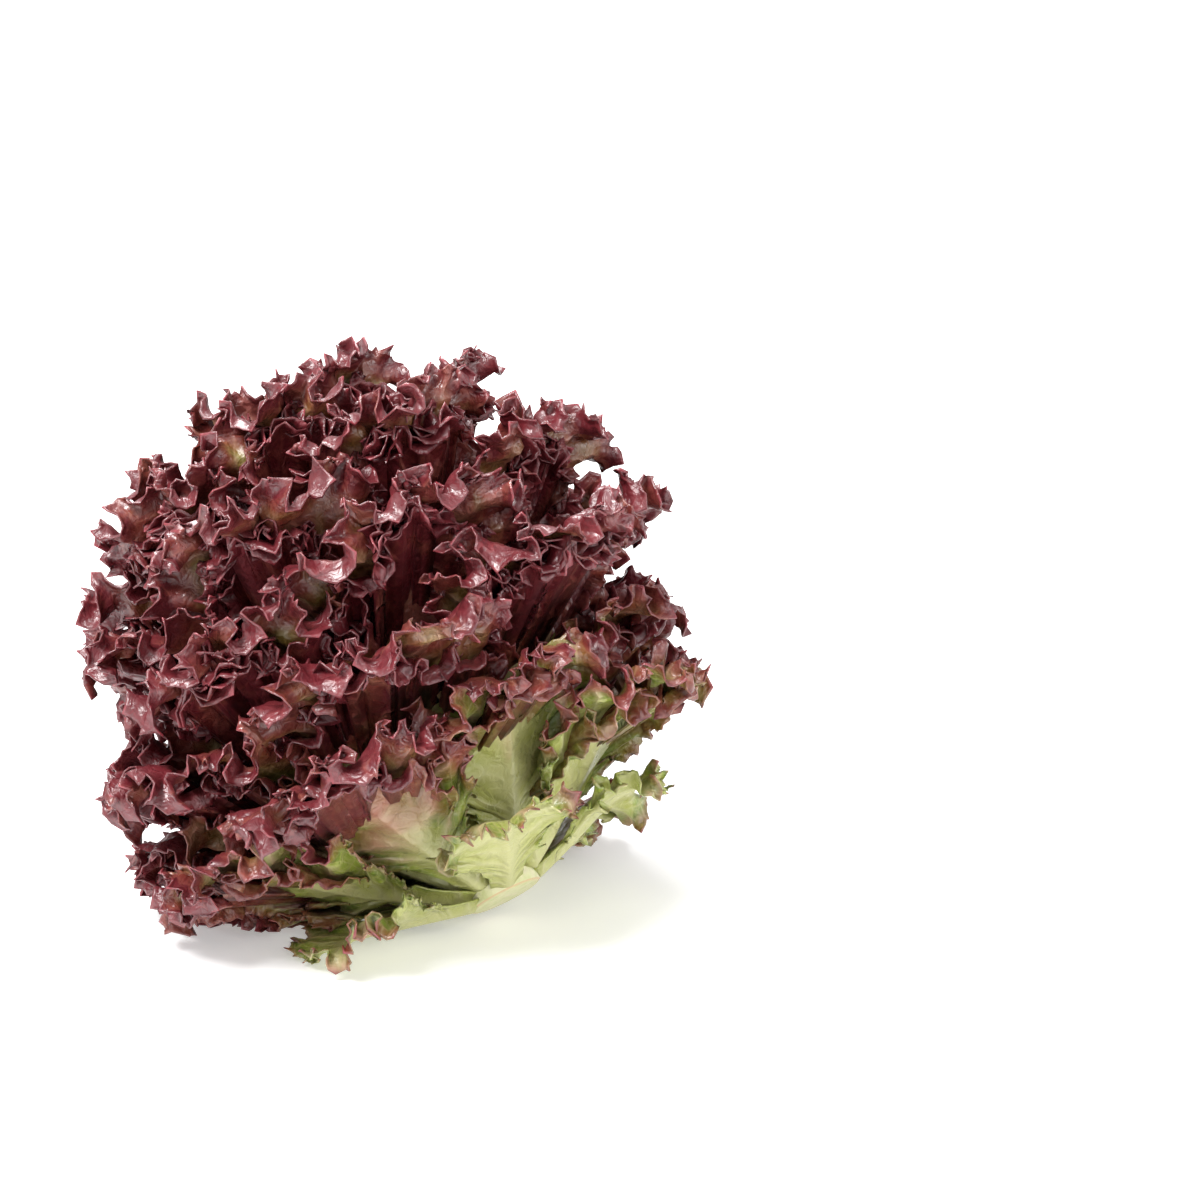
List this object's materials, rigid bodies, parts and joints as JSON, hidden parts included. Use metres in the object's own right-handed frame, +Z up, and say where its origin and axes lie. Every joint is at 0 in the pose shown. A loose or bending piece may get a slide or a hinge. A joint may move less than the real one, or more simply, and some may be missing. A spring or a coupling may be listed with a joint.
{
  "type": "lollo rosso lettuce",
  "caption": "Whole cut head of red frilly leaf lettuce lying on its side, with a short cut stem and ruffled, toothed leaves round it.",
  "frame": {"origin": "centre of the bounding box's base, on the surface that the head lies on", "axes": "+Z up; the picture is taken looking along +Y, from 18 degrees above; the stem's cut end is towards +X and -Y, and the head points to -X, +Y and up"},
  "size_m": [0.231, 0.2418, 0.1986],
  "materials": {
    "leaf_blade": "fresh leaf, satin to glossy on the ruffles, pale green at the root to dark maroon at the edge",
    "stem_flesh": "moist matte flesh with a cut face"
  },
  "bodies": {
    "root": {"leaf_back_right": "leaf_blade", "leaf_basal_front": "leaf_blade", "leaf_basal_right": "leaf_blade", "leaf_dome_01": "leaf_blade", "leaf_dome_02": "leaf_blade", "leaf_dome_03": "leaf_blade", "leaf_dome_04": "leaf_blade", "leaf_dome_05": "leaf_blade", "leaf_dome_06": "leaf_blade", "leaf_dome_07": "leaf_blade", "leaf_dome_08": "leaf_blade", "leaf_dome_09": "leaf_blade", "leaf_dome_10": "leaf_blade", "leaf_dome_11": "leaf_blade", "leaf_dome_12": "leaf_blade", "leaf_dome_13": "leaf_blade", "leaf_dome_14": "leaf_blade", "leaf_dome_15": "leaf_blade", "leaf_dome_16": "leaf_blade", "leaf_dome_17": "leaf_blade", "leaf_dome_18": "leaf_blade", "leaf_dome_19": "leaf_blade", "leaf_dome_20": "leaf_blade", "leaf_dome_21": "leaf_blade", "leaf_dome_22": "leaf_blade", "leaf_dome_23": "leaf_blade", "leaf_dome_24": "leaf_blade", "leaf_dome_25": "leaf_blade", "leaf_dome_26": "leaf_blade", "leaf_dome_27": "leaf_blade", "leaf_dome_28": "leaf_blade", "leaf_floor_back": "leaf_blade", "leaf_floor_front": "leaf_blade", "leaf_floor_left": "leaf_blade", "leaf_floor_right": "leaf_blade", "leaf_high_left": "leaf_blade", "leaf_high_right": "leaf_blade", "leaf_left": "leaf_blade", "leaf_low_left": "leaf_blade", "leaf_middle": "leaf_blade", "leaf_right": "leaf_blade", "leaf_under_back": "leaf_blade", "leaf_under_left": "leaf_blade", "stem": "stem_flesh"}
  },
  "joints": []
}
